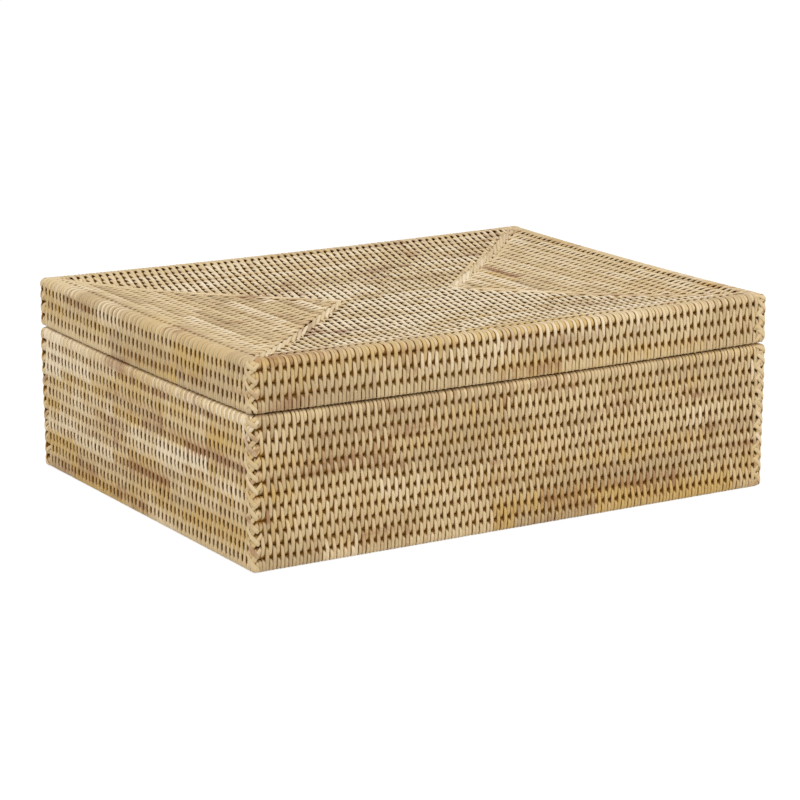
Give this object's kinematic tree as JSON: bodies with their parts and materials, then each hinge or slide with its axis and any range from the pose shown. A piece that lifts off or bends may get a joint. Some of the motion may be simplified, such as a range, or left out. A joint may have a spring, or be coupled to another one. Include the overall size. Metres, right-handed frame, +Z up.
{
  "type": "woven lidded box",
  "caption": "Rectangular coiled-cane storage box with stacked wall courses, mitred floor and lid top, lashed corners and a lid that lifts straight off an inner lip.",
  "frame": {"origin": "under the middle of the floor, on the surface the box stands on", "axes": "+X along the long side, -Y towards the front, +Z up through the lid"},
  "size_m": [0.39, 0.303, 0.1315],
  "materials": {
    "bound_cane": "satin split cane binding",
    "lashing_cane": "satin split cane strip",
    "lip_lath": "plain bent lath"
  },
  "bodies": {
    "base": {"base_wall_course_01": "bound_cane", "base_wall_course_02": "bound_cane", "base_wall_course_03": "bound_cane", "base_wall_course_04": "bound_cane", "base_wall_course_05": "bound_cane", "base_wall_course_06": "bound_cane", "base_wall_course_07": "bound_cane", "base_wall_course_08": "bound_cane", "base_wall_course_09": "bound_cane", "base_wall_course_10": "bound_cane", "base_wall_course_11": "bound_cane", "base_wall_course_12": "bound_cane", "floor_course_01": "bound_cane", "floor_course_02": "bound_cane", "floor_course_03": "bound_cane", "floor_course_04": "bound_cane", "floor_course_05": "bound_cane", "floor_course_06": "bound_cane", "floor_course_07": "bound_cane", "floor_course_08": "bound_cane", "floor_course_09": "bound_cane", "floor_course_10": "bound_cane", "floor_course_11": "bound_cane", "floor_course_12": "bound_cane", "floor_course_13": "bound_cane", "floor_course_14": "bound_cane", "floor_course_15": "bound_cane", "floor_course_16": "bound_cane", "floor_spine": "bound_cane", "base_lip": "lip_lath", "base_lashing_rear_right": "lashing_cane", "base_lashing_rear_left": "lashing_cane", "base_lashing_front_left": "lashing_cane", "base_lashing_front_right": "lashing_cane"},
    "lid": {"lid_wall_course_01": "bound_cane", "lid_wall_course_02": "bound_cane", "lid_wall_course_03": "bound_cane", "lid_rim": "bound_cane", "lid_top_course_01": "bound_cane", "lid_top_course_02": "bound_cane", "lid_top_course_03": "bound_cane", "lid_top_course_04": "bound_cane", "lid_top_course_05": "bound_cane", "lid_top_course_06": "bound_cane", "lid_top_course_07": "bound_cane", "lid_top_course_08": "bound_cane", "lid_top_course_09": "bound_cane", "lid_top_course_10": "bound_cane", "lid_top_course_11": "bound_cane", "lid_top_course_12": "bound_cane", "lid_top_course_13": "bound_cane", "lid_top_course_14": "bound_cane", "lid_top_course_15": "bound_cane", "lid_top_course_16": "bound_cane", "lid_top_spine": "bound_cane", "lid_lashing_rear_right": "lashing_cane", "lid_lashing_rear_left": "lashing_cane", "lid_lashing_front_left": "lashing_cane", "lid_lashing_front_right": "lashing_cane"}
  },
  "joints": [
    {"name": "lid_lift", "type": "slide", "parent": "base", "child": "lid", "axis": [0, 0, 1], "range_m": [0, 0.12]}
  ]
}
